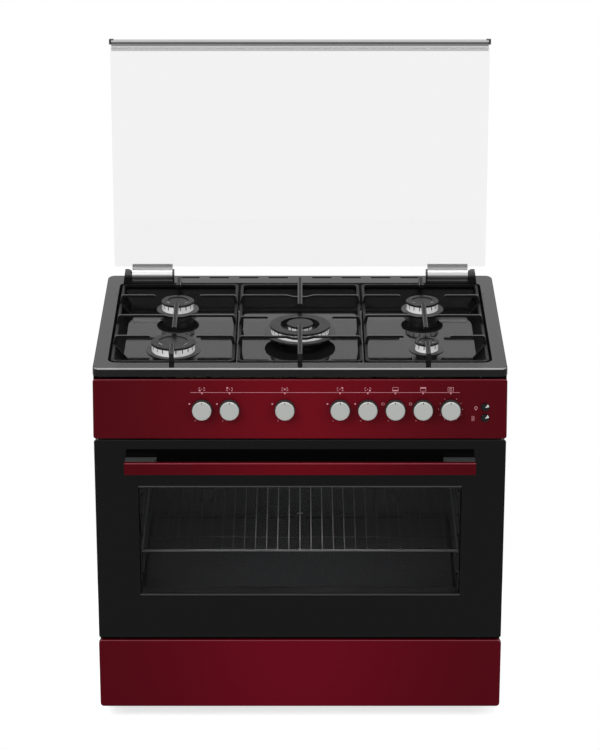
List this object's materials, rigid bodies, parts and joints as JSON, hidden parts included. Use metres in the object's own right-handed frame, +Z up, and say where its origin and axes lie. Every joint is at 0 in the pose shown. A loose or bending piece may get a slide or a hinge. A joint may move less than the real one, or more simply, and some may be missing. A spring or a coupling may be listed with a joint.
{
  "type": "gas cooker",
  "caption": "Wide free-standing gas cooker: hinged glass lid over a hob with pan supports and burners, slanted knob panel, drop-down oven door and a storage drawer on feet.",
  "frame": {"origin": "on the floor, under the middle of the cooker's overall box", "axes": "+X to the right seen from the front, +Y towards the back, +Z up; the open lid makes the cooker tallest along Z"},
  "size_m": [0.9, 0.6584, 1.4239],
  "materials": {
    "dark_body_paint": "satin powder coat",
    "galvanised_steel": "zinc coated",
    "black_plastic": "moulded",
    "black_enamel": "gloss vitreous enamel",
    "mineral_wool": "foil-less blanket",
    "seal_rubber": "silicone",
    "ceramic": "unglazed",
    "chromed_wire": "bright plated",
    "dark_hob_enamel": "satin vitreous enamel",
    "aluminium": "satin",
    "burgundy_enamel": "gloss enamel",
    "brass": "turned",
    "clear_glass": "tempered",
    "dark_glass": "tinted tempered",
    "grey_plastic": "moulded",
    "support_enamel": "matt black enamel",
    "black_gloss_plastic": "polished",
    "satin_silver": "satin"
  },
  "bodies": {
    "cabinet": {"side_panels": "dark_body_paint", "back_panel": "galvanised_steel", "panel_screws": "galvanised_steel", "power_gland": "black_plastic", "base_pan": "galvanised_steel", "adjustable_feet": "black_plastic", "front_frame": "black_enamel", "door_hinge_arms": "galvanised_steel", "oven_liner": "black_enamel", "insulation_blanket": "mineral_wool", "oven_gasket": "seal_rubber", "oven_floor_plate": "black_enamel", "oven_burner": "galvanised_steel", "grill_burner": "galvanised_steel", "oven_lamp": "ceramic", "oven_rack": "chromed_wire", "drawer_runners": "galvanised_steel", "hob_plate": "dark_hob_enamel", "burner_pots": "aluminium", "ignition_electrodes": "ceramic", "centre_burner_head": "aluminium", "centre_ring_cap": "black_enamel", "lid_hinge_brackets": "black_plastic", "control_panel": "burgundy_enamel", "gas_taps": "brass", "gas_pipework": "galvanised_steel", "timer_and_switches": "black_plastic"},
    "lid": {"lid_glass": "clear_glass", "lid_profile": "aluminium", "lid_end_caps": "black_plastic", "lid_hinge_clamps": "aluminium"},
    "door": {"door_outer_glass": "dark_glass", "door_inner_glass": "clear_glass", "door_frame": "galvanised_steel", "handle_bar": "burgundy_enamel", "handle_brackets": "grey_plastic"},
    "drawer": {"drawer_front": "burgundy_enamel", "drawer_box": "galvanised_steel"},
    "left_support": {"pan_support_left": "support_enamel"},
    "centre_support": {"pan_support_centre": "support_enamel"},
    "right_support": {"pan_support_right": "support_enamel"},
    "centre_inner_cap": {"centre_cap": "black_enamel"},
    "front_left_burner": {"front_left_head": "aluminium"},
    "front_left_lid": {"front_left_cap": "black_enamel"},
    "rear_left_burner": {"rear_left_head": "aluminium"},
    "rear_left_lid": {"rear_left_cap": "black_enamel"},
    "rear_right_burner": {"rear_right_head": "aluminium"},
    "rear_right_lid": {"rear_right_cap": "black_enamel"},
    "front_right_burner": {"front_right_head": "aluminium"},
    "front_right_lid": {"front_right_cap": "black_enamel"},
    "front_left_dial": {"front_left_knob": "satin_silver"},
    "rear_left_dial": {"rear_left_knob": "satin_silver"},
    "centre_dial": {"centre_knob": "satin_silver"},
    "rear_right_dial": {"rear_right_knob": "satin_silver"},
    "front_right_dial": {"front_right_knob": "satin_silver"},
    "oven_dial": {"oven_knob": "satin_silver"},
    "grill_dial": {"grill_knob": "satin_silver"},
    "timer_dial": {"timer_knob": "satin_silver"},
    "light_push": {"light_button": "black_gloss_plastic"},
    "spark_push": {"spark_button": "black_gloss_plastic"}
  },
  "joints": [
    {"name": "lid_hinge", "type": "hinge", "parent": "cabinet", "child": "lid", "pos_m": [0, 0.28517, 0.867], "axis": [-1, 0, 0], "range_deg": [-92, 0]},
    {"name": "door_hinge", "type": "hinge", "parent": "cabinet", "child": "door", "pos_m": [0, -0.27517, 0.226], "axis": [1, 0, 0], "range_deg": [0, 90], "stiffness_Nm_per_rad": 6, "springref_deg": -22.92},
    {"name": "drawer_slide", "type": "slide", "parent": "cabinet", "child": "drawer", "axis": [0, 1, 0], "range_m": [-0.35, 0]},
    {"name": "left_support_lift", "type": "slide", "parent": "cabinet", "child": "left_support", "axis": [0, 0, 1], "range_m": [0, 0.06]},
    {"name": "centre_support_lift", "type": "slide", "parent": "cabinet", "child": "centre_support", "axis": [0, 0, 1], "range_m": [0, 0.06]},
    {"name": "right_support_lift", "type": "slide", "parent": "cabinet", "child": "right_support", "axis": [0, 0, 1], "range_m": [0, 0.06]},
    {"name": "front_left_head_lift", "type": "slide", "parent": "cabinet", "child": "front_left_burner", "axis": [0, 0, 1], "range_m": [0, 0.04]},
    {"name": "front_left_cap_lift", "type": "slide", "parent": "front_left_burner", "child": "front_left_lid", "axis": [0, 0, 1], "range_m": [0, 0.03]},
    {"name": "rear_left_head_lift", "type": "slide", "parent": "cabinet", "child": "rear_left_burner", "axis": [0, 0, 1], "range_m": [0, 0.04]},
    {"name": "rear_left_cap_lift", "type": "slide", "parent": "rear_left_burner", "child": "rear_left_lid", "axis": [0, 0, 1], "range_m": [0, 0.03]},
    {"name": "rear_right_head_lift", "type": "slide", "parent": "cabinet", "child": "rear_right_burner", "axis": [0, 0, 1], "range_m": [0, 0.04]},
    {"name": "rear_right_cap_lift", "type": "slide", "parent": "rear_right_burner", "child": "rear_right_lid", "axis": [0, 0, 1], "range_m": [0, 0.03]},
    {"name": "front_right_head_lift", "type": "slide", "parent": "cabinet", "child": "front_right_burner", "axis": [0, 0, 1], "range_m": [0, 0.04]},
    {"name": "front_right_cap_lift", "type": "slide", "parent": "front_right_burner", "child": "front_right_lid", "axis": [0, 0, 1], "range_m": [0, 0.03]},
    {"name": "centre_cap_lift", "type": "slide", "parent": "cabinet", "child": "centre_inner_cap", "axis": [0, 0, 1], "range_m": [0, 0.03]},
    {"name": "front_left_knob_turn", "type": "hinge", "parent": "cabinet", "child": "front_left_dial", "pos_m": [-0.213, -0.2768, 0.7575], "axis": [0, -0.9877, 0.1564], "range_deg": [0, 150]},
    {"name": "rear_left_knob_turn", "type": "hinge", "parent": "cabinet", "child": "rear_left_dial", "pos_m": [-0.153, -0.2768, 0.7575], "axis": [0, -0.9877, 0.1564], "range_deg": [0, 150]},
    {"name": "centre_knob_turn", "type": "hinge", "parent": "cabinet", "child": "centre_dial", "pos_m": [-0.033, -0.2768, 0.7575], "axis": [0, -0.9877, 0.1564], "range_deg": [0, 150]},
    {"name": "rear_right_knob_turn", "type": "hinge", "parent": "cabinet", "child": "rear_right_dial", "pos_m": [0.087, -0.2768, 0.7575], "axis": [0, -0.9877, 0.1564], "range_deg": [0, 150]},
    {"name": "front_right_knob_turn", "type": "hinge", "parent": "cabinet", "child": "front_right_dial", "pos_m": [0.147, -0.2768, 0.7575], "axis": [0, -0.9877, 0.1564], "range_deg": [0, 150]},
    {"name": "oven_knob_turn", "type": "hinge", "parent": "cabinet", "child": "oven_dial", "pos_m": [0.207, -0.2768, 0.7575], "axis": [0, -0.9877, 0.1564], "range_deg": [0, 150]},
    {"name": "grill_knob_turn", "type": "hinge", "parent": "cabinet", "child": "grill_dial", "pos_m": [0.267, -0.2768, 0.7575], "axis": [0, -0.9877, 0.1564], "range_deg": [0, 150]},
    {"name": "timer_knob_turn", "type": "hinge", "parent": "cabinet", "child": "timer_dial", "pos_m": [0.327, -0.2768, 0.7575], "axis": [0, -0.9877, 0.1564], "range_deg": [-300, 0]},
    {"name": "light_button_push", "type": "slide", "parent": "cabinet", "child": "light_push", "axis": [0, 0.9877, -0.1564], "range_m": [0, 0.003], "stiffness_N_per_m": 300, "springref_m": -0.001},
    {"name": "spark_button_push", "type": "slide", "parent": "cabinet", "child": "spark_push", "axis": [0, 0.9877, -0.1564], "range_m": [0, 0.003], "stiffness_N_per_m": 300, "springref_m": -0.001}
  ]
}
